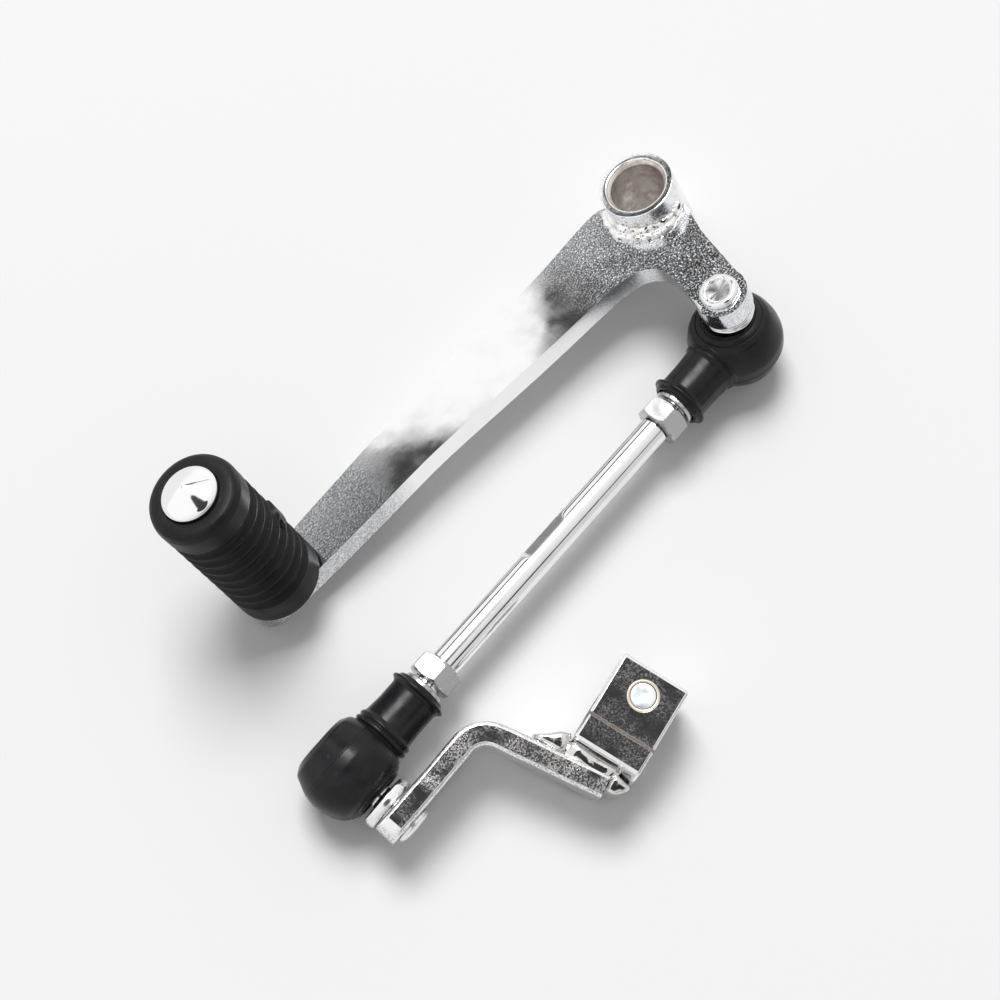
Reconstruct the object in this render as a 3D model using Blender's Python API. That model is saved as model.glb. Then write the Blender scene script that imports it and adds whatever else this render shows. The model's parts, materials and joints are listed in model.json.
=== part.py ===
"""Gear shift lever of a motorcycle with its link rod and splined shift arm, lying on a floor.

The assembly has three groups, each built in a frame of its own:
- lever: x from the foot peg to the pivot tube, z out of the plate on the peg's side;
- link: x from the shift arm's ball to the lever's ball, z up;
- arm: x along the arm's first leg, away from its ball stud, z across the bar's width, up.
Lengths are in millimetres until a mesh is made. The floor is z = 0.
"""

import math

import bmesh
import bpy
from mathutils import Euler, Matrix, Vector

MM = 0.001

# Where the groups lie on the floor (mm and degrees)
LEVER_AT = (72.03, 19.98, 16.7)
LEVER_TURN = (-21.73, -6.56, -0.31)
BALL_ARM_AT = (-69.65, -19.04, 11.0)
ARM_TURN = (6.16, -4.03, 1.36)
ARM_JOINT_TURN = 96.1
LEVER_JOINT_TURN = -22.0
CENTRE = (0.77, -9.6)

# Lever
PLATE_T = 6.0
JOGGLE = 5.5
JOGGLE_FROM, JOGGLE_TO = -92.0, -24.0
PEG_X = -120.9
TUBE_R, TUBE_BORE, TUBE_TOP, TUBE_BOTTOM = 8.8, 6.2, 7.0, -14.5
PEG_R = 10.5
RUBBER_FROM, RUBBER_TO = 5.9, 48.6
LOBE = (-8.2, -32.0)
BALL_DROP = 18.1

# Ball joints
BALL_R = 4.6
SEAT_IN, SEAT_OUT = 4.9, 5.7
CAVITY_R = 6.0
HOUSING_R = 7.6
SHANK_R, SHANK_TO = 4.8, 24.5
BOOT_R = 11.05
NUT_FROM, NUT_TO = 25.4, 30.5
NECK_R = 2.7
GAP = 0.3

# Rod and threads
ROD_R = 3.5
M6_ROD, M6_HOLE = 2.9, 3.2
HEX_FLATS = 10.0

# Shift arm
BAR_T = 5.3
BAR_HALF = 8.43
BAR_MID = 15.1
BEND = 74.7
BEND_R = 6.45
CLAMP_TURN = 9.0
CLAMP_U = (37.5, 53.7)
SPLINE_V = 37.2
SPLINE_R = 6.0
BOLT_V = 46.2
LUG_TOP = 8.3


def clear_scene():
    for obj in list(bpy.data.objects):
        bpy.data.objects.remove(obj, do_unlink=True)


def material(name, colour, metallic, roughness):
    found = bpy.data.materials.new(name)
    found.use_nodes = True
    shader = found.node_tree.nodes["Principled BSDF"]
    shader.inputs["Base Color"].default_value = (*colour, 1.0)
    shader.inputs["Metallic"].default_value = metallic
    shader.inputs["Roughness"].default_value = roughness
    return found


def frame(name, at, turn=(0, 0, 0), parent=None):
    """An empty that holds a group: place in mm, turn in degrees."""
    empty = bpy.data.objects.new(name, None)
    bpy.context.scene.collection.objects.link(empty)
    empty.location = Vector(at) * MM
    empty.rotation_euler = [math.radians(angle) for angle in turn]
    empty.parent = parent
    return empty


def solid(name, mesh, parent, look=None, at=(0, 0, 0), turn=(0, 0, 0), sharp=32):
    """Turns a bmesh in mm into an object in its parent's frame."""
    bmesh.ops.remove_doubles(mesh, verts=mesh.verts, dist=1e-4)
    bmesh.ops.recalc_face_normals(mesh, faces=mesh.faces)
    bmesh.ops.scale(mesh, vec=(MM, MM, MM), verts=mesh.verts)
    data = bpy.data.meshes.new(name)
    mesh.to_mesh(data)
    mesh.free()
    obj = bpy.data.objects.new(name, data)
    bpy.context.scene.collection.objects.link(obj)
    obj.parent = parent
    obj.location = Vector(at) * MM
    obj.rotation_euler = [math.radians(angle) for angle in turn]
    if look:
        data.materials.append(look)
    data.shade_smooth()
    data.set_sharp_from_angle(angle=math.radians(sharp))
    return obj


def boolean(obj, tool, operation="DIFFERENCE"):
    """Cuts or joins with a tool object, which stays in the file as a hidden guide."""
    tool.hide_render = True
    tool.display_type = "WIRE"
    modifier = obj.modifiers.new(tool.name, "BOOLEAN")
    modifier.operation = operation
    modifier.solver = "EXACT"
    modifier.object = tool


def lathe(profile, steps=32):
    """A solid of revolution about z. The profile lists (radius, z) round a closed section."""
    mesh = bmesh.new()
    rings = []
    for radius, z in profile:
        if radius < 1e-6:
            rings.append([mesh.verts.new((0, 0, z))] * steps)
            continue
        angles = [2 * math.pi * i / steps for i in range(steps)]
        rings.append([mesh.verts.new((radius * math.cos(a), radius * math.sin(a), z)) for a in angles])
    for ring, after in zip(rings, rings[1:] + rings[:1]):
        for i in range(steps):
            j = (i + 1) % steps
            corners = []
            for vert in (ring[i], ring[j], after[j], after[i]):
                if vert not in corners:
                    corners.append(vert)
            if len(corners) > 2:
                mesh.faces.new(corners)
    return mesh


def prism(outline, low, high):
    """A straight solid along z over an outline of (x, y) points."""
    mesh = bmesh.new()
    bottom = [mesh.verts.new((x, y, low)) for x, y in outline]
    top = [mesh.verts.new((x, y, high)) for x, y in outline]
    mesh.faces.new(bottom[::-1])
    mesh.faces.new(top)
    for i in range(len(outline)):
        j = (i + 1) % len(outline)
        mesh.faces.new((bottom[i], bottom[j], top[j], top[i]))
    return mesh


def arc(centre, radius, start, end, steps):
    """Points on an arc, angles in degrees."""
    angles = [math.radians(start + (end - start) * i / steps) for i in range(steps + 1)]
    return [(centre[0] + radius * math.cos(a), centre[1] + radius * math.sin(a)) for a in angles]


def curve_through(points, steps=3):
    """A smooth line through the points, end points kept."""
    ends = [points[0]] + list(points) + [points[-1]]
    line = []
    for before, start, end, after in zip(ends, ends[1:], ends[2:], ends[3:]):
        for i in range(steps):
            t = i / steps
            line.append(tuple(
                0.5 * (2 * b + (c - a) * t + (2 * a - 5 * b + 4 * c - d) * t * t
                       + (3 * b - a - 3 * c + d) * t ** 3)
                for a, b, c, d in zip(before, start, end, after)
            ))
    return line + [points[-1]]


def sweep(sections):
    """Joins equal closed sections, lists of (x, y, z), into one capped solid."""
    mesh = bmesh.new()
    rows = [[mesh.verts.new(point) for point in section] for section in sections]
    count = len(rows[0])
    for row, after in zip(rows, rows[1:]):
        for i in range(count):
            j = (i + 1) % count
            mesh.faces.new((row[i], row[j], after[j], after[i]))
    mesh.faces.new(rows[0][::-1])
    mesh.faces.new(rows[-1])
    return mesh


def joggle(x):
    """Height of the lever plate above its pivot end."""
    share = min(max((JOGGLE_TO - x) / (JOGGLE_TO - JOGGLE_FROM), 0.0), 1.0)
    return JOGGLE * share * share * (3 - 2 * share)


def lever_plate(parent, look):
    """Flat bar with a round peg end, an S bend along its length and a lobe for the ball stud."""
    inner = curve_through([
        (-118, -5.9), (-106, -6.6), (-92, -7.2), (-76, -7.4), (-62, -7.9), (-48, -8.4), (-34, -8.9),
        (-24, -9.6), (-18.6, -10.5), (-14.4, -12.2), (-11.9, -15.0), (-11.2, -18.6), (-11.8, -23.0),
        (-12.9, -27.0),
    ])
    outer = curve_through([
        (-1.5, -29.4), (-0.6, -26), (0.5, -21), (1.9, -16), (3.6, -11.8), (5.2, -8.4),
    ])
    upper = curve_through([
        (-6.4, 6.8), (-8.6, 8.0), (-14, 8.4), (-28, 8.0), (-45, 7.8), (-62, 7.7), (-76, 7.4), (-92, 6.8),
        (-106, 6.6), (-118, 6.1),
    ])
    outline = arc((-125.6, 0), 5.4, 105, 255, 10) + inner + arc(LOBE, 6.3, 168, 362, 14)
    outline += outer + [(0.0, 0.0)] + upper
    mesh = prism(outline, -PLATE_T, 0)
    rim = [edge for edge in mesh.edges if all(vert.co.z > -0.01 for vert in edge.verts)]
    bmesh.ops.bevel(mesh, geom=rim, offset=1.3, segments=3, profile=0.5, affect="EDGES")
    rim = [edge for edge in mesh.edges if all(vert.co.z < 0.01 - PLATE_T for vert in edge.verts)]
    bmesh.ops.bevel(mesh, geom=rim, offset=0.5, segments=1, affect="EDGES")
    stations = 13
    for i in range(stations + 1):
        x = JOGGLE_FROM + (JOGGLE_TO - JOGGLE_FROM) * i / stations
        geometry = mesh.verts[:] + mesh.edges[:] + mesh.faces[:]
        bmesh.ops.bisect_plane(mesh, geom=geometry, plane_co=(x, 0, 0), plane_no=(1, 0, 0), dist=1e-5)
    for vert in mesh.verts:
        vert.co.z += joggle(vert.co.x)
    plate = solid("lever_plate", mesh, parent, look)
    for name, at, radius in (
        ("cut_tube", (0, 0), TUBE_R + GAP),
        ("cut_peg", (PEG_X, 0), 4.4),
        ("cut_rivet", LOBE, 3.6),
    ):
        drill = lathe([(0, -12), (radius, -12), (radius, 12), (0, 12)], 32)
        boolean(plate, solid(name, drill, parent, at=(*at, 0)))


def pivot_tube(parent, look):
    """Bush that turns on the pivot pin, chamfered inside and out at both ends."""
    section = [
        (TUBE_BORE, TUBE_BOTTOM + 1.2), (TUBE_BORE + 1.2, TUBE_BOTTOM), (TUBE_R - 0.4, TUBE_BOTTOM),
        (TUBE_R, TUBE_BOTTOM + 0.4), (TUBE_R, TUBE_TOP - 0.4), (TUBE_R - 0.4, TUBE_TOP),
        (TUBE_BORE + 1.2, TUBE_TOP), (TUBE_BORE, TUBE_TOP - 1.2),
    ]
    solid("pivot_tube", lathe(section, 40), parent, look)


def tube_weld(name, parent, look, base, rise, start, end):
    """Uneven fillet bead that runs part of the way round the tube."""
    wall = TUBE_R + GAP
    sections = []
    count = 22
    for i in range(count + 1):
        share = i / count
        angle = math.radians(start + (end - start) * share)
        size = (0.55 + 0.45 * math.sin(math.pi * share) ** 0.5) * (1 + 0.13 * math.sin(9.0 * share * math.pi))
        leg, height = 3.0 * size, 3.3 * size * rise
        line = [(wall, 0), (wall + leg, 0), (wall + 0.93 * leg, 0.3 * height),
                (wall + 0.55 * leg, 0.72 * height), (wall, height)]
        sections.append([(r * math.cos(angle), r * math.sin(angle), base + z) for r, z in line])
    solid(name, sweep(sections), parent, look, sharp=60)


def peg_pin(parent, look):
    """Steel core of the peg: foot fixed in the plate, shank and domed head over the rubber."""
    section = [
        (0, -0.9), (3.6, -0.9), (4.0, -0.5), (4.0, 5.8), (4.7, 5.8),
        (4.7, RUBBER_TO + 0.3), (6.2, RUBBER_TO + 0.3), (6.5, RUBBER_TO + 0.7), (6.5, RUBBER_TO + 1.7),
        (5.9, RUBBER_TO + 2.4), (3.4, RUBBER_TO + 3.4), (1.6, RUBBER_TO + 4.0), (0, RUBBER_TO + 4.3),
    ]
    solid("peg_pin", lathe(section, 24), parent, look, at=(PEG_X, 0, 0))


def peg_rubber(parent, look):
    """Ribbed rubber sleeve, smooth at both ends."""
    bore = 5.1
    section = [(bore, RUBBER_FROM), (PEG_R - 0.9, RUBBER_FROM), (PEG_R, RUBBER_FROM + 0.9)]
    first, last, grooves = RUBBER_FROM + 6.6, RUBBER_TO - 6.3, 8
    pitch = (last - first) / grooves
    for i in range(grooves):
        z = first + i * pitch
        section += [(PEG_R, z + 0.3), (PEG_R - 0.9, z + 1.2), (PEG_R - 0.9, z + 2.4), (PEG_R, z + 3.3)]
    section += [
        (PEG_R, RUBBER_TO - 2.2), (PEG_R - 0.6, RUBBER_TO - 0.7), (PEG_R - 2.0, RUBBER_TO), (bore, RUBBER_TO),
    ]
    solid("peg_rubber", lathe(section, 26), parent, look, at=(PEG_X, 0, 0))


def ball_stud(name, parent, look, at, turn, flange, flange_r, plate, rivet):
    """Ball, neck and flange in one, peened over on the far side of the plate. The ball is at z = 0."""
    section = [(0, -BALL_R)]
    section += [(BALL_R * math.cos(a), BALL_R * math.sin(a))
                for a in (math.radians(-90 + 144 * i / 9) for i in range(1, 9))]
    section += [
        (NECK_R, 3.8), (NECK_R, flange[0] - 0.4), (NECK_R + 0.4, flange[0]), (flange_r - 0.3, flange[0]),
        (flange_r, flange[0] + 0.3), (flange_r, flange[1] - 0.3), (flange_r - 0.3, flange[1]), (3.25, flange[1]),
        (3.25, plate + GAP),
        (4.0, plate + GAP), (4.4, plate + 0.6), (4.4, plate + rivet * 0.6), (3.5, plate + rivet),
        (2.6, plate + rivet), (2.2, plate + rivet * 0.7), (0, plate + rivet * 0.7),
    ]
    solid(name, lathe(section, 26), parent, look, at=at, turn=turn)


def seat_ring(parent, look, name, low, high):
    """Zone of a nylon shell round the ball, between two latitudes in degrees."""
    angles = [math.radians(low + (high - low) * i / 5) for i in range(6)]
    section = [(SEAT_OUT * math.cos(a), SEAT_OUT * math.sin(a)) for a in angles]
    section += [(SEAT_IN * math.cos(a), SEAT_IN * math.sin(a)) for a in angles[::-1]]
    section = [(0.0 if r < 1e-4 else r, z) for r, z in section]
    solid(name, lathe(section, 22), parent, look)


def ball_housing(parent, look, name):
    """Socket with a spherical cavity, an open foot for the plug and a threaded shank along x."""
    bowl = [(CAVITY_R * math.cos(a), CAVITY_R * math.sin(a))
            for a in (math.radians(46 - 46 * i / 5) for i in range(6))]
    section = [
        (HOUSING_R - 1.6, 5.0), (4.25, 5.0), *bowl, (CAVITY_R, -5.7), (6.4, -5.7), (6.4, -7.5),
        (HOUSING_R - 0.5, -7.5), (HOUSING_R, -7.0), (HOUSING_R, 2.6),
    ]
    body = solid(name, lathe(section, 26), parent, look)
    bar = [(0, 6.9), (SHANK_R, 6.9), (SHANK_R, SHANK_TO - 0.5), (SHANK_R - 0.5, SHANK_TO), (0, SHANK_TO)]
    boolean(body, solid(name + "_shank", lathe(bar, 24), parent, turn=(0, 90, 0)), "UNION")
    hole = [(0, 9.0), (M6_HOLE, 9.0), (M6_HOLE, SHANK_TO + 1), (0, SHANK_TO + 1)]
    boolean(body, solid(name + "_bore", lathe(hole, 20), parent, turn=(0, 90, 0)))


def ball_plug(parent, look, name):
    """Disc that closes the foot of the socket."""
    section = [(0, -7.3), (5.6, -7.3), (6.1, -6.9), (6.1, -6.1), (0, -6.1)]
    solid(name, lathe(section, 28), parent, look)


def ball_boot(parent, look, name, slip):
    """Rubber barrel over the socket, in one with a sleeve along the shank. Slip shifts the barrel in x and y."""
    barrel = [
        (0, -8.8), (6.6, -8.8), (7.8, -8.35), (8.7, -7.4), (10.1, -4.0), (BOOT_R, 0),
        (10.1, 4.0), (8.7, 7.1), (7.8, 7.75), (6.9, 8.15), (6.2, 8.35), (0, 8.35),
    ]
    boot = solid(name, lathe(barrel, 30), parent, look, at=(*slip, 0))
    sleeve = [
        (0, 8.0), (6.0, 8.0), (6.0, 9.3), (6.6, 9.7), (6.6, 11.8), (5.8, 12.4), (5.75, 20.6), (6.6, 21.3),
        (6.6, 22.4), (5.8, 22.9), (5.7, 23.4), (0, 23.4),
    ]
    boolean(boot, solid(name + "_sleeve", lathe(sleeve, 24), parent, turn=(0, 90, 0)), "UNION")
    room = [(0, -7.8), (7.9, -7.8), (7.9, 5.3), (6.9, 6.6), (5.6, 6.8), (5.6, 9), (0, 9)]
    boolean(boot, solid(name + "_room", lathe(room, 26), parent))
    bore = [(0, 0), (SHANK_R + GAP, 0), (SHANK_R + GAP, 25), (0, 25)]
    boolean(boot, solid(name + "_bore", lathe(bore, 24), parent, turn=(0, 90, 0)))


def hex_nut(parent, look, name, low, high, bore, at=(0, 0, 0), turn=(0, 90, 0), spin=0):
    """Hexagon with both faces chamfered. Spin turns it about its own axis, in degrees."""
    corner = HEX_FLATS / math.sqrt(3)
    outline = arc((0, 0), corner, spin, spin + 300, 5)
    nut = solid(name, prism(outline, low, high), parent, look, at=at, turn=turn)
    cone = [(0, low - 1), (4.9, low - 0.01), (7.0, low + 1.2), (7.0, high - 1.2), (4.9, high + 0.01), (0, high + 1)]
    boolean(nut, solid(name + "_cone", lathe(cone, 36), parent, at=at, turn=turn), "INTERSECT")
    if bore:
        hole = [(0, low - 2), (bore, low - 2), (bore, high + 2), (0, high + 2)]
        boolean(nut, solid(name + "_bore", lathe(hole, 24), parent, at=at, turn=turn))


def link_rod(parent, look, length):
    """Round rod with turned ends for the threads and two flats for a spanner in the middle."""
    start, end = NUT_TO + 0.3, length - NUT_TO - 0.3
    section = [
        (0, 10.5), (M6_ROD - 0.5, 10.5), (M6_ROD, 11), (M6_ROD, start), (ROD_R - 0.4, start),
        (ROD_R, start + 0.4), (ROD_R, end - 0.4), (ROD_R - 0.4, end), (M6_ROD, end), (M6_ROD, length - 11),
        (M6_ROD - 0.5, length - 10.5), (0, length - 10.5),
    ]
    rod = solid("link_rod", lathe(section, 28), parent, look, turn=(0, 90, 0))
    middle = length / 2
    for side in (-1, 1):
        flat = prism([(middle - 5.6, 0), (middle + 5.6, 0), (middle + 4.6, 2), (middle - 4.6, 2)], -5, 5)
        if side > 0:
            bmesh.ops.rotate(flat, matrix=Matrix.Rotation(math.pi, 3, "X"), verts=flat.verts)
        shift = Vector((0, side * 4.9, 0))
        bmesh.ops.translate(flat, vec=shift, verts=flat.verts)
        boolean(rod, solid(f"cut_flat_{'ab'[side > 0]}", flat, parent, turn=(38, 0, 0)))


def ball_joint(parent, looks, tag, slip, spin):
    """Socket, plug, boot and lock nut of one end, x along its shank and z along its stud."""
    ball_housing(parent, looks["zinc"], f"ball_housing_{tag}")
    ball_plug(parent, looks["zinc"], f"ball_plug_{tag}")
    seat_ring(parent, looks["nylon"], f"ball_seat_lower_{tag}", -90, -8)
    seat_ring(parent, looks["nylon"], f"ball_seat_upper_{tag}", 10, 45)
    ball_boot(parent, looks["boot"], f"ball_boot_{tag}", slip)
    hex_nut(parent, looks["zinc"], f"lock_nut_{tag}", NUT_FROM, NUT_TO, M6_HOLE, spin=spin)


def bar_section(point, normal, half):
    """Chamfered cross-section of the arm: point and normal in the plan, half its width."""
    edge = 0.6
    side = BAR_T / 2
    corners = [
        (side, half - edge), (side - edge, half), (edge - side, half), (-side, half - edge),
        (-side, edge - half), (edge - side, -half), (side - edge, -half), (side, edge - half),
    ]
    return [(point[0] + normal[0] * a, point[1] + normal[1] * a, z) for a, z in corners]


def arm_place(out, along):
    """Arm frame from a distance out along the stud and a distance along the first leg."""
    return (along, -out)


def shift_arm(parent, look):
    """Flat bar on edge, bent once, rounded at the stud end."""
    turn = math.radians(BEND)
    tangent = BEND_R * math.tan(turn / 2)
    corner = Vector((24.7, -BAR_MID))
    second = Vector((math.cos(turn), -math.sin(turn)))
    sections = []
    for x, half in ((-6.2, 3.6), (-6.0, 5.0), (-5.4, 6.4), (-4.4, 7.5), (-3.2, 8.2), (-1.6, BAR_HALF), (9, BAR_HALF)):
        sections.append(bar_section((x, -BAR_MID), (0, 1), half))
    centre = Vector((corner.x - tangent, -BAR_MID - BEND_R))
    steps = 8
    for i in range(steps + 1):
        angle = turn * i / steps
        normal = (math.sin(angle), math.cos(angle))
        sections.append(bar_section((centre.x + BEND_R * normal[0], centre.y + BEND_R * normal[1]), normal, BAR_HALF))
    end = corner + second * 30.2
    sections.append(bar_section(end, (math.sin(turn), math.cos(turn)), BAR_HALF))
    bar = solid("shift_arm", sweep(sections), parent, look, sharp=25)
    drill = lathe([(0, -30), (3.6, -30), (3.6, 0), (0, 0)], 32)
    boolean(bar, solid("cut_arm_rivet", drill, parent, turn=(-90, 0, 0)))


def clamp_boss(parent, look):
    """Split block with a splined bore. Its frame has x along the bore and y towards the lug."""
    teeth = 24
    start = math.degrees(math.asin(0.9 / SPLINE_R))
    bore = []
    for i in range(2 * teeth - 2):
        radius = SPLINE_R if i % 2 else SPLINE_R - 0.75
        angle = math.radians(start + (360 - 2 * start) * i / (2 * teeth - 3))
        bore.append((SPLINE_V + radius * math.cos(angle), radius * math.sin(angle)))
    outline = [
        (52.2, 0.9), (52.2, LUG_TOP), (SPLINE_V, LUG_TOP), (31.2, 7.4), (29.6, 5.4), (28.6, 1.8), (28.6, -1.8),
        (29.6, -5.4), (31.4, -7.4), (34.5, -8.3), (39.9, -8.3), (40.8, -5.6), (52.2, -5.6), (52.2, -0.9),
    ]
    outline += bore[::-1]
    mesh = prism(outline, *CLAMP_U)
    far = [edge for edge in mesh.edges
           if all(math.hypot(v.co.x - SPLINE_V, v.co.y) > 7.5 and abs(v.co.y) > 1 for v in edge.verts)]
    bmesh.ops.bevel(mesh, geom=far, offset=0.6, segments=2, profile=0.5, affect="EDGES")
    # The outline's plane becomes the plane across the bore: (y, z) of the block's frame.
    bmesh.ops.transform(mesh, matrix=Matrix(((0, 0, 1), (1, 0, 0), (0, 1, 0))).to_4x4(), verts=mesh.verts)
    block = solid("clamp_boss", mesh, parent, look, sharp=28)
    middle = sum(CLAMP_U) / 2
    hole = [
        (0, -6), (3.4, -6), (3.4, 0), (M6_HOLE, 0), (M6_HOLE, LUG_TOP - 0.7), (4.0, LUG_TOP + 0.1),
        (4.0, LUG_TOP + 1), (0, LUG_TOP + 1),
    ]
    boolean(block, solid("cut_bolt", lathe(hole, 32), parent, at=(middle, BOLT_V, 0)))


def pinch_bolt(parent, look, washer_look):
    """Hexagon bolt that closes the clamp from below, its tip flush with the lug."""
    middle = sum(CLAMP_U) / 2
    at = (middle, BOLT_V, 0)
    hex_nut(parent, look, "pinch_bolt", -10.1, -7.0, 0, at=at, turn=(0, 0, 0))
    shank = [(0, -7.5), (M6_ROD, -7.5), (M6_ROD, LUG_TOP - 0.7), (M6_ROD - 0.35, LUG_TOP - 0.1), (0, LUG_TOP - 0.1)]
    boolean(bpy.data.objects["pinch_bolt"], solid("bolt_shank", lathe(shank, 28), parent, at=at), "UNION")
    ring = [(3.25, -6.7), (4.9, -6.7), (4.9, -5.9), (3.25, -5.9)]
    solid("pinch_washer", lathe(ring, 28), parent, washer_look, at=at)


def clamp_welds(parent, look):
    """Fillets at the two ends of the block where it sits on the bar."""
    left = [(32.2, 32.9), (31.9, 34.6), (31.4, 37.0), (29.6, 35.4), (27.6, 33.2), (25.0, 31.2), (25.9, 30.9)]
    right = [(45.4, 31.0), (46.9, 32.3), (48.1, 34.2), (48.2, 35.8), (44.1, 35.1)]
    for name, outline in (("clamp_weld_left", left), ("clamp_weld_right", right)):
        centre = [sum(axis) / len(outline) for axis in zip(*outline)]
        sections = []
        for z, size in ((-7.6, 0.55), (-6.6, 0.9), (-3, 1.0), (3, 0.97), (6.6, 0.9), (7.8, 0.6)):
            ring = [tuple(c + (p - c) * size for p, c in zip(point, centre)) for point in outline]
            sections.append([(*arm_place(out, along), z) for out, along in ring])
        solid(name, sweep(sections), parent, look, sharp=60)


def build():
    clear_scene()
    looks = {
        "chrome": material("chrome", (0.66, 0.66, 0.67), 1.0, 0.16),
        "bare_steel": material("bare_steel", (0.42, 0.38, 0.35), 1.0, 0.45),
        "weld": material("weld", (0.58, 0.58, 0.57), 1.0, 0.32),
        "zinc": material("zinc", (0.62, 0.62, 0.62), 1.0, 0.34),
        "rubber": material("rubber", (0.025, 0.025, 0.027), 0.0, 0.55),
        "boot": material("boot", (0.045, 0.045, 0.05), 0.0, 0.5),
        "nylon": material("nylon", (0.75, 0.74, 0.7), 0.0, 0.45),
    }
    whole = frame("assembly", (-CENTRE[0], -CENTRE[1], 0))

    lever = frame("lever_frame", LEVER_AT, LEVER_TURN, whole)
    lever_plate(lever, looks["chrome"])
    pivot_tube(lever, looks["bare_steel"])
    tube_weld("tube_weld_upper", lever, looks["weld"], GAP, 1, 142, 287)
    tube_weld("tube_weld_lower", lever, looks["weld"], -PLATE_T - GAP, -0.8, 142, 287)
    peg_pin(lever, looks["chrome"])
    peg_rubber(lever, looks["rubber"])
    ball_stud("ball_stud_lever", lever, looks["zinc"], (*LOBE, -BALL_DROP), (0, 0, 0),
              (9.4, BALL_DROP - PLATE_T - GAP), 5.8, BALL_DROP, 1.6)

    spin = Euler([math.radians(angle) for angle in LEVER_TURN]).to_matrix()
    line = Vector(LEVER_AT) + spin @ Vector((*LOBE, -BALL_DROP)) - Vector(BALL_ARM_AT)
    heading = math.degrees(math.atan2(line.y, line.x))
    climb = math.degrees(math.asin(line.z / line.length))
    link = frame("link_frame", BALL_ARM_AT, (0, -climb, heading), whole)
    arm_end = frame("arm_joint_frame", (0, 0, 0), (ARM_JOINT_TURN, 0, 0), link)
    lever_end = frame("lever_joint_frame", (line.length, 0, 0), (LEVER_JOINT_TURN, 0, 0), link)
    lever_end_in = frame("lever_joint_turned", (0, 0, 0), (0, 0, 180), lever_end)
    link_rod(link, looks["zinc"], line.length)
    ball_joint(arm_end, looks, "arm", (0.0, 0.0), -22)
    ball_joint(lever_end_in, looks, "lever", (1.6, -0.45), 26)

    arm = frame("arm_frame", BALL_ARM_AT, ARM_TURN, whole)
    shift_arm(arm, looks["chrome"])
    ball_stud("ball_stud_arm", arm, looks["zinc"], (0, 0, 0), (90, 0, 0), (9.4, BAR_MID - BAR_T / 2 - GAP),
              6.5, BAR_MID + BAR_T / 2, 1.3)
    clamp = frame("clamp_frame", (0, 0, 0), (0, 0, CLAMP_TURN - 90), arm)
    clamp_boss(clamp, looks["chrome"])
    pinch_bolt(clamp, looks["zinc"], looks["zinc"])
    clamp_welds(arm, looks["weld"])


build()
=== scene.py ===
"""Looks of the gear shift lever with its link rod and shift arm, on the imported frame.

Each piece is modelled in millimetres in its group's frame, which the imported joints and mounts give:
- lever: origin where the pivot axis meets the plate's upper face, x from the peg to the pivot, z to the
  peg's side;
- joint_arm and joint_lever: origin in the ball, x along the ball housing's shank, z along its stud;
- stud_arm and stud_lever: origin in the ball, z along the stud to its peened head;
- link: origin in the shift arm's ball, x along the rod, z up;
- arm and clamp: origin in the shift arm's ball, z across the bar. The arm's x runs along its first leg, and
  the clamp's along its bore.
"""

import json
import math

import bmesh
import bpy
from mathutils import Matrix, Vector, noise


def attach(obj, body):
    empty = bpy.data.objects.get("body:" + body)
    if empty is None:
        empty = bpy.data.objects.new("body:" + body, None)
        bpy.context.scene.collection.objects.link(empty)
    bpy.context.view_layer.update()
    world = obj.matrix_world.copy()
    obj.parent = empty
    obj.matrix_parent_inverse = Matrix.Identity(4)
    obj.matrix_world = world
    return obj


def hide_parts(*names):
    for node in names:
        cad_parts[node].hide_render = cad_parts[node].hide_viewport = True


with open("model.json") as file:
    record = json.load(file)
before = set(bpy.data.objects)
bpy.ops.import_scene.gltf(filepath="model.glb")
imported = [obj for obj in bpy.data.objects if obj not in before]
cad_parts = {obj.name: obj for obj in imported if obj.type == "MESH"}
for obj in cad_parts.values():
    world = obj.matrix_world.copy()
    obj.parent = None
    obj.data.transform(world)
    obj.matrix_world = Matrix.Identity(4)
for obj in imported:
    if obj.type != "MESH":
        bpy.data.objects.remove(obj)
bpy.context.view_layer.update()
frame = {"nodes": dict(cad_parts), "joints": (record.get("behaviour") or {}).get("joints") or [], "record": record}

MM = 0.001
GAP = 0.3
ALONG_X = Matrix.Rotation(math.pi / 2, 4, "Y")
CHROME = (0.9, 0.9, 0.905)

# View: target and distance in metres, angles in degrees
TARGET = (-0.00077, 0.0096, 0.0)
DISTANCE = 0.5359
AZIMUTH, ELEVATION = -48.0, 72.96
LENS = 84.25

# Lever
PLATE_T = 6.0
JOGGLE, JOGGLE_FROM, JOGGLE_TO = 5.5, -92.0, -24.0
PEG_X = -120.9
TUBE_R, TUBE_BORE, TUBE_TOP, TUBE_BOTTOM = 8.8, 6.2, 7.0, -14.5
TUBE_FACE_R = 7.9
PEG_R, PEG_FROM, PEG_TO = 10.45, 5.9, 48.6
LOBE = (-8.2, -32.0)
BALL_DROP = 18.1

# Ball joints
BALL_R, NECK_R = 4.6, 2.7
BOOT_R = 11.05
SHANK_R, SHANK_TO = 4.8, 24.5
NUT_FROM, NUT_TO, NUT_FLATS = 25.4, 30.5, 10.0
ROD_R, THREAD_R = 3.5, 2.9

# Shift arm and clamp
BAR_T, BAR_HALF, BAR_MID = 5.3, 8.43, 15.1
BEND, BEND_R, BEND_X = 74.7, 6.45, 24.7
LEG = 30.2
CLAMP_FROM, CLAMP_TO = 37.5, 53.7
SPLINE_V, SPLINE_R, TEETH = 37.2, 6.0, 24
LUG_TOP = 8.3
BOLT_AT = ((CLAMP_FROM + CLAMP_TO) / 2, 46.2, 0.0)


# ---------------------------------------------------------------- frames

def axes(origin, x, z):
    """A frame from its origin, its x axis and its z axis."""
    x, z = Vector(x).normalized(), Vector(z).normalized()
    y = z.cross(x).normalized()
    turned = Matrix((x, y, z)).transposed().to_4x4()
    return Matrix.Translation(origin) @ turned


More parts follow.
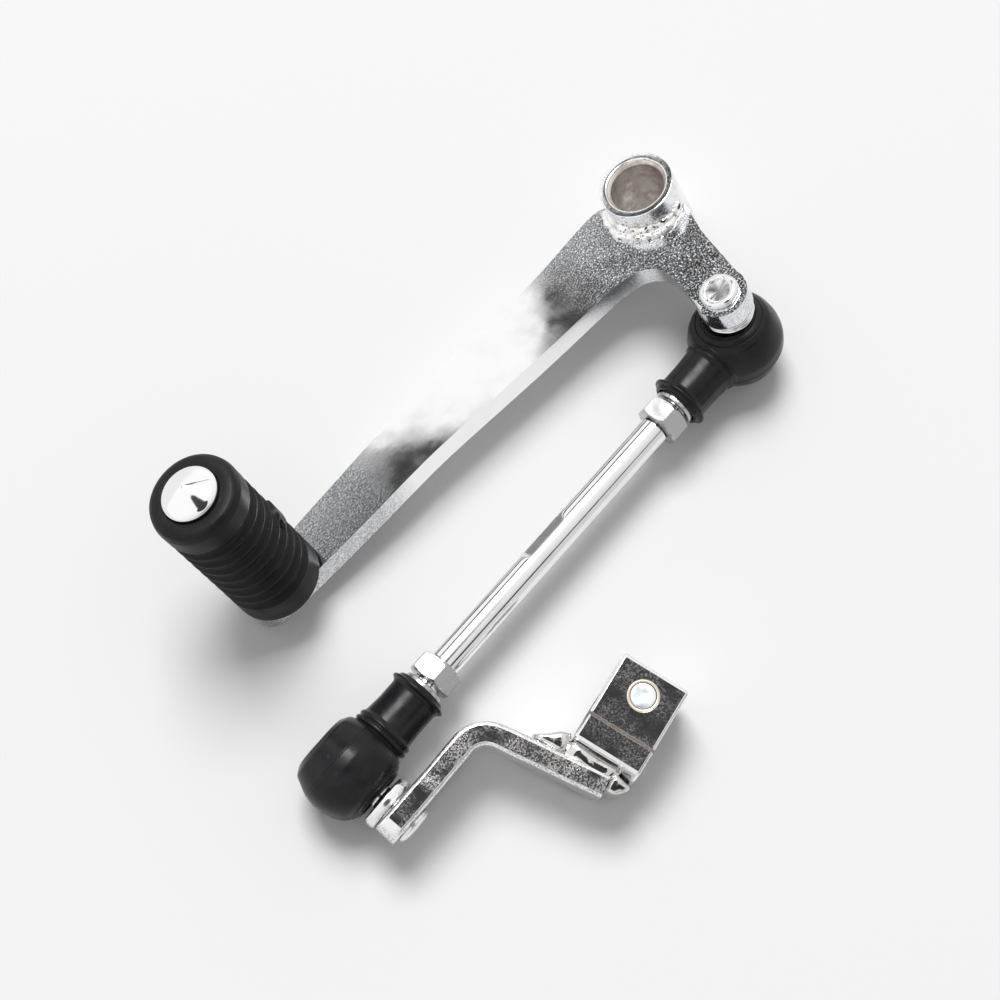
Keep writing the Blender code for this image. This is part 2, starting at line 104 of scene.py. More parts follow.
def group_frames():
    joints = {joint["name"]: joint for joint in frame["joints"]}
    mounts = {mount["name"]: mount for mount in frame["record"]["mounts"]}

    def axis(name):
        return Vector(joints[name]["axis"])

    ball_lever = Vector(joints["lever_ball_swivel"]["pos_m"])
    ball_arm = Vector(joints["arm_ball_swivel"]["pos_m"])
    rod = (ball_lever - ball_arm).normalized()
    stud = axis("lever_ball_swivel").normalized()
    out = axis("arm_ball_swivel").normalized()
    bore = Vector(mounts["clamp_outer_face"]["axis"]).normalized()
    width = out.cross(bore).normalized()

    face = Vector(mounts["tube_outer_face"]["pos_m"])
    reach = face - ball_lever
    reach -= stud * reach.dot(stud)
    angle = math.atan2(-LOBE[1], TUBE_FACE_R - LOBE[0])
    along = Matrix.Rotation(-angle, 3, stud) @ reach.normalized()
    pivot = face - stud * TUBE_TOP * MM - along * TUBE_FACE_R * MM
    return {
        "lever": axes(pivot, along, stud),
        "joint_lever": axes(ball_lever, -rod, rod.cross(axis("lever_ball_tilt"))),
        "joint_arm": axes(ball_arm, rod, rod.cross(axis("arm_ball_tilt"))),
        "link": axes(ball_arm, rod, (0, 0, 1)),
        "stud_lever": axes(ball_lever, along, stud),
        "stud_arm": axes(ball_arm, width, out),
        "arm": axes(ball_arm, width.cross(out), width),
        "clamp": axes(ball_arm, bore, width),
    }


FRAMES = group_frames()
ROD_LENGTH = (FRAMES["joint_lever"].translation - FRAMES["joint_arm"].translation).length / MM


# ---------------------------------------------------------------- materials

def add_node(tree, kind, inputs, **settings):
    """A shader node whose inputs are values or sockets to link from."""
    made = tree.nodes.new("ShaderNode" + kind)
    for key, value in settings.items():
        setattr(made, key, value)
    for key, value in inputs.items():
        if isinstance(value, bpy.types.NodeSocket):
            tree.links.new(value, made.inputs[key])
        else:
            made.inputs[key].default_value = value
    return made


class Look:
    """A Principled material with the node chains that these finishes share."""

    def __init__(self, name, colour, metallic, roughness, group=""):
        self.material = bpy.data.materials.new(name)
        self.material.use_nodes = True
        self.tree = self.material.node_tree
        self.shader = self.tree.nodes["Principled BSDF"]
        self.shader.inputs["Base Color"].default_value = (*colour, 1)
        self.shader.inputs["Metallic"].default_value = metallic
        self.shader.inputs["Roughness"].default_value = roughness
        self.place = self.tree.nodes.new("ShaderNodeTexCoord").outputs["Object"]
        self.height = None
        if group:
            turn = FRAMES[group].to_quaternion().inverted().to_euler()
            self.place = self.node("Mapping", {"Vector": self.place, "Rotation": turn}).outputs["Vector"]

    def node(self, kind, inputs, **settings):
        return add_node(self.tree, kind, inputs, **settings)

    def stretched(self, scale):
        return self.node("Mapping", {"Vector": self.place, "Scale": scale}).outputs["Vector"]

    def noise(self, size, detail=3.0, rough=0.5, scale=(1, 1, 1)):
        """Noise whose features are about so many millimetres across."""
        inputs = {
            "Vector": self.stretched(scale), "Scale": 1 / (size * MM), "Detail": detail, "Roughness": rough,
        }
        return self.node("TexNoise", inputs).outputs["Fac"]

    def along(self, group, axis, low, high):
        """0 to 1 between two places along an axis of the group's frame, in mm."""
        frame_at = FRAMES[group]
        origin = frame_at.to_quaternion().inverted() @ frame_at.translation
        start = origin["XYZ".index(axis)]
        place = self.node("SeparateXYZ", {"Vector": self.place}).outputs[axis]
        return self.span(place, start + low * MM, start + high * MM, 0, 1)

    def span(self, value, low, high, to_low, to_high):
        """Maps low to high onto to_low to to_high, and holds the ends."""
        inputs = {"Value": value, "From Min": low, "From Max": high, "To Min": to_low, "To Max": to_high}
        return self.node("MapRange", inputs).outputs["Result"]

    def times(self, first, second):
        return self.node("Math", {0: first, 1: second}, operation="MULTIPLY").outputs[0]

    def plus(self, first, second):
        return self.node("Math", {0: first, 1: second}, operation="ADD").outputs[0]

    def colour(self, mask, other):
        """Turns the base colour to another where the mask is 1."""
        socket = self.shader.inputs["Base Color"]
        mixer = self.node("Mix", {"Factor": mask}, data_type="RGBA")
        if socket.is_linked:
            self.tree.links.new(socket.links[0].from_socket, mixer.inputs[6])
        else:
            mixer.inputs[6].default_value = socket.default_value
        mixer.inputs[7].default_value = (*other, 1)
        self.tree.links.new(mixer.outputs[2], socket)

    def rust(self, mask, brown):
        """Bare, matt rust where the mask is 1."""
        self.colour(mask, brown)
        self.tree.links.new(self.span(mask, 0, 1, 1, 0.15), self.shader.inputs["Metallic"])
        rough = self.shader.inputs["Roughness"].links[0].from_socket
        self.roughness(self.plus(rough, self.times(mask, 0.4)))

    def roughness(self, value):
        self.tree.links.new(value, self.shader.inputs["Roughness"])

    def bump(self, value, depth):
        """Adds relief whose full height is so many millimetres."""
        inputs = {"Height": value, "Distance": depth * MM, "Strength": 1.0}
        if self.height:
            inputs["Normal"] = self.height
        self.height = self.node("Bump", inputs).outputs["Normal"]
        self.tree.links.new(self.height, self.shader.inputs["Normal"])


def chrome(name, group, wave=0.05, peel=0.004, grain=0.0, pits=0.0, stain=0.0):
    """Bright plate over ground steel: slow waves, orange peel, grinding grain, and pits with brown rust.

    The clamp also has a brown crease across its top.
    """
    look = Look(name, CHROME, 1.0, 0.06, group)
    look.roughness(look.span(look.noise(9.0, 4.0), 0.35, 0.7, 0.03, 0.09))
    look.colour(look.span(look.noise(14.0), 0.45, 0.75, 0, 0.5), (0.82, 0.825, 0.84))
    look.bump(look.noise(16.0, 1.5), wave)
    look.bump(look.noise(1.1, 2.5), peel)
    if grain:
        look.bump(look.noise(0.5, 3.0, 0.65), grain)
    if pits:
        patches = look.span(look.noise(6.0, 3.0), 0.36, 0.56, 0, 1)
        holes = look.times(look.span(look.noise(0.42, 5.0, 0.7), 0.47, 0.62, 0, 1), patches)
        if group == "clamp":
            crease = look.times(look.along("clamp", "Y", 36.7, 37.15), look.along("clamp", "Y", 37.6, 37.2))
            crease = look.times(crease, look.along("clamp", "Z", LUG_TOP - 1.5, LUG_TOP - 0.6))
            crease = look.times(crease, look.span(look.noise(0.8), 0.3, 0.5, 0.3, 2.5))
            holes = look.plus(look.times(holes, 0.5), crease)
        look.bump(look.times(holes, -1.0), pits)
        look.rust(look.times(holes, stain), (0.17, 0.12, 0.1))
    return look.material


def zinc(name, colour, rough, group="", marks=None):
    """Plated steel with fine turning or drawing marks and duller patches."""
    look = Look(name, colour, 1.0, rough, group)
    look.roughness(look.span(look.noise(3.0, 4.0), 0.3, 0.7, rough * 0.7, rough * 1.4))
    duller = tuple(c * 0.84 for c in colour)
    look.colour(look.span(look.noise(5.0, 3.0), 0.5, 0.8, 0, 0.6), duller)
    look.bump(look.noise(0.7, 3.0), 0.004)
    if marks:
        look.bump(look.noise(0.8, 2.0, 0.5, marks), 0.006)
    return look.material


def rubber(name, colour, rough, grain=0.02):
    """Moulded rubber: fine grain, dusty lighter patches and a little sheen."""
    look = Look(name, colour, 0.0, rough)
    look.shader.inputs["Specular IOR Level"].default_value = 0.22
    look.roughness(look.span(look.noise(4.0, 5.0), 0.3, 0.7, rough - 0.1, rough + 0.12))
    dusty = tuple(c * 2.0 + 0.004 for c in colour)
    look.colour(look.span(look.noise(6.0, 6.0, 0.65), 0.5, 0.75, 0, 0.7), dusty)
    scuffs = look.span(look.noise(1.3, 5.0, 0.75), 0.64, 0.7, 0, 1)
    look.colour(look.times(scuffs, 0.35), (0.09, 0.09, 0.09))
    look.bump(look.noise(0.45, 4.0, 0.6), grain)
    look.bump(look.noise(5.0, 2.0), 0.1)
    return look.material


def lever_chrome(name):
    """Chrome that is clear on the slope of the bar. It is tinted dark and grainy towards the peg and speckled
    blue-grey round the pivot: painted dark reflections over real grain and pitting.
    """
    look = Look(name, CHROME, 1.0, 0.06, "lever")
    pivot_end = look.along("lever", "X", -32, -20)
    peg_end = look.along("lever", "X", -84, -94)
    ends = look.plus(pivot_end, peg_end)
    fine = look.noise(0.42, 3.0, 0.7)
    specks = look.times(look.span(fine, 0.5, 0.36, 0, 0.19), pivot_end)
    worn = look.plus(look.times(ends, 0.04), specks)
    look.roughness(look.plus(look.span(look.noise(6.0, 5.0), 0.35, 0.7, 0.03, 0.08), worn))
    look.colour(look.span(look.noise(12.0, 4.0), 0.5, 0.75, 0, 0.15), (0.8, 0.81, 0.83))
    # Painted reflection over real grain: a dark bluish tint in a fine grain towards the peg end.
    look.colour(look.times(look.span(fine, 0.36, 0.6, 0.1, 0.95), peg_end), (0.27, 0.29, 0.33))
    # Painted reflection over real pitting: blue-grey specks round the pivot end.
    look.colour(look.times(look.span(fine, 0.42, 0.58, 0, 0.8), pivot_end), (0.42, 0.46, 0.52))
    look.bump(look.noise(18.0, 1.5), 0.006)
    look.bump(look.noise(2.4, 3.0), 0.0009)
    look.bump(look.times(fine, look.plus(look.times(ends, 0.95), 0.03)), 0.009)
    return look.material


def bare_steel(name):
    """Unplated bore: brownish grey with turning marks round the axis and light rust."""
    look = Look(name, (0.74, 0.69, 0.66), 1.0, 0.35, "lever")
    look.colour(look.span(look.noise(3.0, 5.0, 0.65), 0.46, 0.7, 0, 0.8), (0.46, 0.36, 0.31))
    look.roughness(look.span(look.noise(1.5, 4.0), 0.3, 0.7, 0.25, 0.5))
    look.bump(look.noise(0.4, 2.0, 0.5, (0.1, 0.1, 1)), 0.015)
    look.bump(look.noise(0.5, 4.0, 0.7), 0.015)
    return look.material


def weld_metal(name, lumps, colour):
    """Plated weld: bright and lumpy, with olive patches at random that are painted reflections."""
    look = Look(name, colour, 1.0, 0.07)
    look.roughness(look.span(look.noise(2.0, 4.0), 0.35, 0.7, 0.04, 0.15))
    # Painted reflection: olive patches scattered by noise over the bright weld.
    look.colour(look.span(look.noise(2.6, 4.0, 0.6), 0.55, 0.72, 0, 0.75), (0.4, 0.37, 0.26))
    look.bump(look.noise(1.8, 2.5), lumps)
    look.bump(look.noise(0.5, 3.0), 0.015)
    return look.material


def nylon(name):
    """Natural nylon, milky and matt."""
    look = Look(name, (0.75, 0.74, 0.7), 0.0, 0.45)
    look.shader.inputs["Subsurface Weight"].default_value = 0.1
    look.shader.inputs["Subsurface Radius"].default_value = (0.002, 0.002, 0.0015)
    look.roughness(look.span(look.noise(2.0), 0.3, 0.7, 0.38, 0.55))
    look.bump(look.noise(0.6, 3.0), 0.01)
    return look.material


LOOKS = {
    "chrome": lever_chrome("chrome_lever"),
    "chrome_dome": chrome("chrome_dome", "lever", wave=0.02, peel=0.003),
    "chrome_arm": chrome("chrome_arm", "arm", grain=0.001, pits=0.009, stain=0.85),
    "chrome_clamp": chrome(
        "chrome_clamp", "clamp", wave=0.03, peel=0.003, grain=0.0012, pits=0.0015, stain=0.6
    ),
    "bore": bare_steel("bare_steel_bore"),
    "weld": weld_metal("weld", 0.14, (0.9, 0.89, 0.88)),
    "pool": weld_metal("weld_pool", 0.03, (0.7, 0.69, 0.68)),
    "bolt_tip": zinc("zinc_tip", (0.8, 0.85, 0.88), 0.42),
    "bolt_ring": zinc("thread_ring", (0.8, 0.7, 0.58), 0.5),
    "rod": zinc("zinc_rod", (0.86, 0.86, 0.865), 0.07, "link", (0.05, 1, 1)),
    "stud": zinc("zinc_stud", (0.84, 0.84, 0.84), 0.16),
    "zinc": zinc("zinc_dull", (0.55, 0.55, 0.55), 0.26),
    "nut": zinc("zinc_nut", (0.5, 0.5, 0.505), 0.22),
    "rubber": rubber("rubber_peg", (0.005, 0.005, 0.0055), 0.43),
    "boot": rubber("rubber_boot", (0.009, 0.009, 0.0102), 0.27, 0.012),
    "nylon": nylon("nylon"),
}


# ---------------------------------------------------------------- shapes

def piece(name, mesh, group, look, nodes, body, sharp=35, moved=None):
    """Turns a mesh in mm into a piece in its group's frame, and ties it to the frame's nodes."""
    bmesh.ops.remove_doubles(mesh, verts=mesh.verts, dist=1e-4)
    bmesh.ops.recalc_face_normals(mesh, faces=mesh.faces)
    if moved:
        bmesh.ops.transform(mesh, matrix=moved, verts=mesh.verts)
    bmesh.ops.transform(mesh, matrix=FRAMES[group] @ Matrix.Scale(MM, 4), verts=mesh.verts)
    data = bpy.data.meshes.new(name)
    mesh.to_mesh(data)
    mesh.free()
    data.materials.append(LOOKS[look])
    data.shade_smooth()
    data.set_sharp_from_angle(angle=math.radians(sharp))
    obj = bpy.data.objects.new(name, data)
    bpy.context.scene.collection.objects.link(obj)
    weights = obj.modifiers.new("even_normals", "WEIGHTED_NORMAL")
    weights.keep_sharp = True
    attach(obj, body)
    if nodes:
        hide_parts(*nodes)
    return obj


def soften(points, radius, steps=3, closed=True):
    """Rounds the corners of a 2D outline. A corner takes at most 45% of its shorter side."""
    count = len(points)
    line = []
    for i, point in enumerate(points):
        if not closed and i in (0, count - 1):
            line.append(point)
            continue
        here = Vector(point)
        before, after = Vector(points[i - 1]) - here, Vector(points[(i + 1) % count]) - here
        reach = min(radius, 0.45 * before.length, 0.45 * after.length)
        if before.length < 1e-6 or after.length < 1e-6 or before.angle(after) > math.radians(168):
            line.append(point)
            continue
        start, end = here + before.normalized() * reach, here + after.normalized() * reach
        for k in range(steps + 1):
            t = k / steps
            line.append(tuple(start * (1 - t) ** 2 + here * 2 * t * (1 - t) + end * t * t))
    return line


def lathe(profile, steps=64):
    """A solid of revolution about z over a closed (radius, z) section."""
    mesh = bmesh.new()
    rings = []
    for radius, z in profile:
        if radius < 1e-5:
            rings.append([mesh.verts.new((0, 0, z))] * steps)
            continue
        angles = [2 * math.pi * i / steps for i in range(steps)]
        rings.append([mesh.verts.new((radius * math.cos(a), radius * math.sin(a), z)) for a in angles])
    for ring, after in zip(rings, rings[1:] + rings[:1]):
        for i in range(steps):
            j = (i + 1) % steps
            corners = []
            for vert in (ring[i], ring[j], after[j], after[i]):
                if vert not in corners:
                    corners.append(vert)
            if len(corners) > 2:
                mesh.faces.new(corners)
    return mesh


def prism(outline, low, high):
    """A 2D outline drawn up from one height to another."""
    mesh = bmesh.new()
    bottom = [mesh.verts.new((x, y, low)) for x, y in outline]
    top = [mesh.verts.new((x, y, high)) for x, y in outline]
    mesh.faces.new(bottom[::-1])
    mesh.faces.new(top)
    for i in range(len(outline)):
        j = (i + 1) % len(outline)
        mesh.faces.new((bottom[i], bottom[j], top[j], top[i]))
    return mesh


def sweep(sections):
    """A capped skin over closed sections that have equally many points."""
    mesh = bmesh.new()
    rows = [[mesh.verts.new(point) for point in section] for section in sections]
    count = len(rows[0])
    for row, after in zip(rows, rows[1:]):
        for i in range(count):
            j = (i + 1) % count
            mesh.faces.new((row[i], row[j], after[j], after[i]))
    mesh.faces.new(rows[0][::-1])
    mesh.faces.new(rows[-1])
    return mesh


def arc(centre, radius, start, end, steps):
    angles = [math.radians(start + (end - start) * i / steps) for i in range(steps + 1)]
    return [(centre[0] + radius * math.cos(a), centre[1] + radius * math.sin(a)) for a in angles]


def curve_through(points):
    """A smooth line through the points, end points kept."""
    steps = 6
    ends = [points[0]] + list(points) + [points[-1]]
    line = []
    for before, start, end, after in zip(ends, ends[1:], ends[2:], ends[3:]):
        for i in range(steps):
            t = i / steps
            line.append(tuple(
                0.5 * (2 * b + (c - a) * t + (2 * a - 5 * b + 4 * c - d) * t * t
                       + (3 * b - a - 3 * c + d) * t ** 3)
                for a, b, c, d in zip(before, start, end, after)
            ))
    return line + [points[-1]]


def slice_across(mesh, places, direction):
    """Adds edges where planes across a direction cut the mesh."""
    for place in places:
        geometry = mesh.verts[:] + mesh.edges[:] + mesh.faces[:]
        bmesh.ops.bisect_plane(
            mesh, geom=geometry, plane_co=Vector(direction) * place, plane_no=direction, dist=1e-5
        )


def steps_between(low, high, count):
    return [low + (high - low) * i / count for i in range(count + 1)]


def edges_at(mesh, test):
    return [edge for edge in mesh.edges if all(test(vert.co) for vert in edge.verts)]


def roughen(mesh, amount, size, seed, weight=None):
    """Moves points along their normals by smooth noise."""
    mesh.normal_update()
    shift = Vector((seed * 17.3, seed * 5.1, seed * 9.7))
    for vert, normal in [(vert, vert.normal.copy()) for vert in mesh.verts]:
        share = weight(vert.co) if weight else 1.0
        vert.co += normal * noise.noise(vert.co / size + shift) * amount * share


# ---------------------------------------------------------------- lever

def joggle(x):
    """How far the lever plate is set off at x."""
    share = min(max((JOGGLE_TO - x) / (JOGGLE_TO - JOGGLE_FROM), 0.0), 1.0)
    return JOGGLE * share * share * (3 - 2 * share)


def lever_plate():
    """Flat bar with softened edges, set off along its length, with a lobe for the ball stud."""
    inner = curve_through([
        (-118, -5.9), (-106, -6.6), (-92, -7.2), (-76, -7.4), (-62, -7.9), (-48, -8.4), (-34, -8.9),
        (-24, -9.6), (-18.6, -10.5), (-14.4, -12.2), (-11.9, -15.0), (-11.2, -18.6), (-11.8, -23.0),
        (-12.9, -27.0),
    ])
    outer = curve_through([
        (-1.5, -29.4), (-0.6, -26), (0.5, -21), (1.9, -16), (3.6, -11.8), (5.0, -7.6),
    ])
    upper = curve_through([
        (-6.3, 6.6), (-8.6, 8.0), (-14, 8.4), (-28, 8.0), (-45, 7.8), (-62, 7.7), (-76, 7.4), (-92, 6.8),
        (-106, 6.6), (-118, 6.1),
    ])
    peg_end = arc((-125.6, 0), 5.4, 105, 255, 18)
    lobe = arc(LOBE, 6.3, 168, 362, 26)
    saddle = arc((0, 0), TUBE_R + GAP, -57, -226, 36)
    outline = []
    for point in peg_end + inner + lobe + outer + saddle + upper:
        if not outline or (Vector(point) - Vector(outline[-1])).length > 0.2:
            outline.append(point)
    mesh = prism(outline, -PLATE_T, 0)
    top = edges_at(mesh, lambda co: co.z > -0.01)
    bmesh.ops.bevel(mesh, geom=top, offset=1.35, segments=5, profile=0.55, affect="EDGES")
    bottom = edges_at(mesh, lambda co: co.z < 0.01 - PLATE_T)
    bmesh.ops.bevel(mesh, geom=bottom, offset=0.6, segments=3, profile=0.5, affect="EDGES")
    slice_across(mesh, steps_between(-129, 2, 88), (1, 0, 0))
    slice_across(mesh, steps_between(-30, -12, 8), (0, 1, 0))
    for vert in mesh.verts:
        vert.co.z += joggle(vert.co.x)
    piece("lever_plate_chrome", mesh, "lever", "chrome", ["lever_plate"], "pedal", sharp=50)


def pivot_tube():
    """Plated bush whose bore is bare."""
    low, high = TUBE_BOTTOM + 0.35, TUBE_TOP - 0.35
    outside = soften([
        (TUBE_BORE + 1.0, TUBE_BOTTOM), (TUBE_R, TUBE_BOTTOM), (TUBE_R, TUBE_TOP),
        (TUBE_BORE + 1.0, TUBE_TOP), (TUBE_BORE + 0.7, high), (TUBE_BORE + 0.7, low),
    ], 0.3)
    bush = lathe(outside, 96)
    piece("pivot_tube_plated", bush, "lever", "chrome_clamp", ["pivot_tube"], "pedal")
    lining = soften([
        (TUBE_BORE, TUBE_BOTTOM + 1.1), (TUBE_BORE + 0.75, low), (TUBE_BORE + 0.85, low),
        (TUBE_BORE + 0.85, high), (TUBE_BORE + 0.75, high), (TUBE_BORE, TUBE_TOP - 1.1),
    ], 0.2, 2)
    piece("pivot_tube_bore", lathe(lining, 96), "lever", "bore", [], "pedal")


def tube_weld(side, base, rise, seed):
    """Weld bead round part of the tube: a fillet with overlapping lumps, from base up or down by rise."""
    start, end = 140, 286
    count, around = 120, 14
    sections = []
    for i in range(count + 1):
        share = i / count
        angle = math.radians(start + (end - start) * share)
        size = max(0.25, math.sin(math.pi * share)) ** 0.35
        ripple = 1 + 0.1 * abs(math.sin(share * math.pi * 11)) + 0.22 * noise.noise((share * 7, seed, 0))
        leg, height = 2.5 * size * ripple, 2.6 * size * ripple * rise
        section = []
        for k in range(around):
            turn = math.pi / 2 * k / (around - 1)
            bulge = 0.72 + 0.28 * abs(math.cos(2 * turn)) + 0.07 * math.sin(4 * turn)
            radius = TUBE_R - 0.2 + leg * math.cos(turn) * bulge
            section.append((radius, base + height * math.sin(turn) * bulge))
        section.append((TUBE_R - 0.4, base + height * 0.6))
        section.append((TUBE_R - 0.4, base))
        sections.append([(r * math.cos(angle), r * math.sin(angle), z) for r, z in section])
    mesh = sweep(sections)
    roughen(mesh, 0.5, 2.2, seed, lambda co: 0.0 if math.hypot(co.x, co.y) < TUBE_R else 1.0)
    piece("tube_weld_bead_" + side, mesh, "lever", "weld", ["tube_weld_" + side], "pedal", sharp=80)


def peg_pin():
    """Plated head with a blunt point, flush on the rubber, and its hidden shank."""
    head = soften([
        (4.7, PEG_TO + 0.1), (6.45, PEG_TO + 0.1), (6.55, PEG_TO + 0.9), (5.8, PEG_TO + 1.6),
        (3.2, PEG_TO + 2.9), (0.5, PEG_TO + 4.2),
    ], 0.5, 3, closed=False)
    profile = [(0, -0.9), (3.6, -0.9), (4.0, -0.5), (4.0, 5.8), (4.7, 5.8)] + head + [(0, PEG_TO + 4.3)]
    centre = Matrix.Translation((PEG_X, 0, 0))
    pin = lathe(profile, 72)
    piece("peg_pin_head", pin, "lever", "chrome_dome", ["peg_pin"], "pedal", moved=centre)


def peg_rubber():
    """Sleeve with a smooth foot band, thin lips between wide grooves, a rounded tip and an oval button."""
    bore, depth = 5.0, 1.0
    first, last, grooves = PEG_FROM + 6.6, PEG_TO - 6.3, 8
    pitch = (last - first) / grooves
    profile = [(bore, PEG_FROM), (PEG_R - 0.6, PEG_FROM), (PEG_R, PEG_FROM + 0.6), (PEG_R, first - 0.05)]
    for i in range(grooves):
        z = first + i * pitch
        profile += [
            (PEG_R - 0.05, z + 0.18), (PEG_R - depth * 0.75, z + 0.75), (PEG_R - depth, z + pitch * 0.42),
            (PEG_R - depth * 0.85, z + pitch * 0.68), (PEG_R - depth * 0.3, z + pitch * 0.88),
            (PEG_R, z + pitch - 0.22),
        ]
    profile += [
        (PEG_R, last + 0.1), (PEG_R + 0.05, PEG_TO - 2.2), (PEG_R - 0.35, PEG_TO - 0.75),
        (PEG_R - 1.2, PEG_TO - 0.1), (PEG_R - 2.4, PEG_TO + 0.1), (6.7, PEG_TO), (6.5, PEG_TO - 0.1),
        (bore, PEG_TO - 0.1),
    ]
    mesh = lathe(soften(profile, 0.3, 2), 128)
    button_z, button_angle = first + 3.5 * pitch, math.radians(-12)
    button_wide, button_high, button_top = 3.6, 2.6, PEG_R + 0.45
    for vert in mesh.verts:
        radius, angle = math.hypot(vert.co.x, vert.co.y), math.atan2(vert.co.y, vert.co.x)
        turn = math.atan2(math.sin(angle - button_angle), math.cos(angle - button_angle))
        inside = (turn * PEG_R / button_wide) ** 2 + ((vert.co.z - button_z) / button_high) ** 2
        if radius > PEG_R - 1.5 and inside < 1:
            scale = button_top / radius
            vert.co.x *= scale
            vert.co.y *= scale
    centre = Matrix.Translation((PEG_X, 0, 0))
    piece(
        "peg_rubber_sleeve", mesh, "lever", "rubber", ["peg_rubber"], "pedal",
        sharp=60, moved=centre,
    )


def ball_stud(tag, body, high, plate, wide, rings):
    """Ball, neck and ringed collar up to high in one, with the peened head on the plate's far side."""
    low = 9.4
    ball = [(BALL_R * math.cos(a), BALL_R * math.sin(a))
            for a in (math.radians(-90 + 144 * i / 16) for i in range(1, 16))]
    collar = [(NECK_R, 3.8), (NECK_R, low)]
    step = (high - low) / rings
    for i in range(rings):
        z = low + i * step
        collar += [(wide - 0.4, z), (wide, z + step * 0.3), (wide, z + step * 0.75), (wide - 0.4, z + step)]
    collar = soften(collar + [(3.3, high)], 0.14 if rings > 1 else 0.6, 4, closed=False)
    head = soften([
        (3.3, plate + 0.05), (4.5, plate + 0.05), (4.5, plate + 0.9), (3.7, plate + 1.5), (3.0, plate + 1.5),
        (2.6, plate + 0.95),
    ], 0.5, 4, closed=False)
    profile = [(0, -BALL_R)] + ball + collar + head + [(0, plate + 0.9)]
    mesh = lathe(profile, 96)
    if rings > 1:
        roughen(mesh, 0.22, 2.6, 4, lambda co: 1.0 if co.z > low - 0.1 else 0.0)
    name = "ball_stud_" + tag
    piece(name + "_turned", mesh, "stud_" + tag, "stud", [name], body)


# ---------------------------------------------------------------- ball joints and rod

def ball_boot(tag, slip, mould_line, seed):
    """Rubber barrel with a seam low round its side and ledges round the stud, and its ringed sleeve."""
    barrel = soften([
        (0, -8.8), (6.7, -8.8), (8.6, -7.7), (10.2, -4.4), (10.7, -3.2), (10.62, -3.0), (10.78, -2.8),
        (BOOT_R, -0.4), (10.85, 1.6), (10.1, 4.2), (9.1, 6.1), (7.95, 7.15), (7.75, 7.0), (7.55, 7.5),
        (6.5, 8.0), (6.3, 7.9), (6.15, 8.35), (5.9, 8.4), (5.6, 8.2), (5.6, 7.4), (0, 7.4),
    ], 0.5, 4, closed=False)
    body = lathe(barrel, 112)
    bmesh.ops.translate(body, vec=(*slip, 0), verts=body.verts)
    sleeve = soften([
        (0, 5.0), (6.3, 5.0), (6.3, 9.2), (6.9, 9.5), (6.95, 10.1), (6.5, 10.45), (6.45, 10.65), (6.85, 11.0),
        (6.75, 11.5), (6.2, 12.2), (5.95, 16.0), (5.95, 20.7), (6.25, 21.4), (6.95, 21.8), (6.95, 22.3),
        (6.1, 22.6), (5.8, 23.4), (5.05, 23.4), (5.05, 22.0), (0, 22.0),
    ], 0.28, 3)
    arm = lathe(sleeve, 90)
    for vert in arm.verts:
        if abs(math.degrees(math.atan2(vert.co.y, vert.co.x)) - mould_line) < 2.1:
            vert.co.x *= 1.02
            vert.co.y *= 1.02
    roughen(body, 0.12, 6.0, seed)
    name = "ball_boot_" + tag
    piece(name + "_barrel", body, "joint_" + tag, "boot", [name], "link", sharp=40)
    piece(name + "_sleeve", arm, "joint_" + tag, "boot", [], "link", sharp=40, moved=ALONG_X)


def ball_shank(tag):
    """Threaded end of the ball housing where it leaves the rubber."""
    profile = soften([(3.2, 9.0), (SHANK_R, 9.0), (SHANK_R, SHANK_TO), (3.2, SHANK_TO)], 0.5)
    name = "ball_housing_" + tag + "_shank"
    piece(name, lathe(profile, 56), "joint_" + tag, "zinc", [], "link", moved=ALONG_X)


def hexagon(low, high, flats, bore=0.0):
    """A hexagon nut's solid along z, its faces turned down to a cone at the corners."""
    dish = 0.55
    corner = flats / math.sqrt(3)
    mesh = bmesh.new()
    per_side = 10
    count = 6 * per_side

    def radius_at(i):
        angle = math.radians(60) * ((i % per_side) / per_side - 0.5)
        return flats / 2 / math.cos(angle)

    def ring(z_of, radius_of):
        verts = []
        for i in range(count):
            angle = math.radians(60) * (i / per_side - 0.5) + math.radians(30)
            r = radius_of(i)
            verts.append(mesh.verts.new((r * math.cos(angle), r * math.sin(angle), z_of(r))))
        return verts

    drop = dish / (corner - flats / 2)
    inner = bore or 0.01
    face = flats / 2 - 0.15
    levels = [
        (lambda r: low, lambda i: inner),
        (lambda r: low, lambda i: face),
        (lambda r: low + 0.05 + max(0, r - flats / 2) * drop, radius_at),
        (lambda r: high - 0.05 - max(0, r - flats / 2) * drop, radius_at),
        (lambda r: high, lambda i: face),
        (lambda r: high, lambda i: inner),
    ]
    rings = [ring(z_of, radius_of) for z_of, radius_of in levels]
    pairs = list(zip(rings, rings[1:]))
    if bore:
        pairs.append((rings[-1], rings[0]))
    else:
        mesh.faces.new(rings[0][::-1])
        mesh.faces.new(rings[-1])
    for ring_a, ring_b in pairs:
        for i in range(count):
            j = (i + 1) % count
            mesh.faces.new((ring_a[i], ring_a[j], ring_b[j], ring_b[i]))
    return mesh


def lock_nut(tag, angle):
    turn = ALONG_X @ Matrix.Rotation(math.radians(angle), 4, "Z")
    mesh = hexagon(NUT_FROM, NUT_TO, NUT_FLATS, THREAD_R + GAP)
    name = "lock_nut_" + tag
    piece(name + "_hex", mesh, "joint_" + tag, "nut", [name], "link", sharp=25, moved=turn)


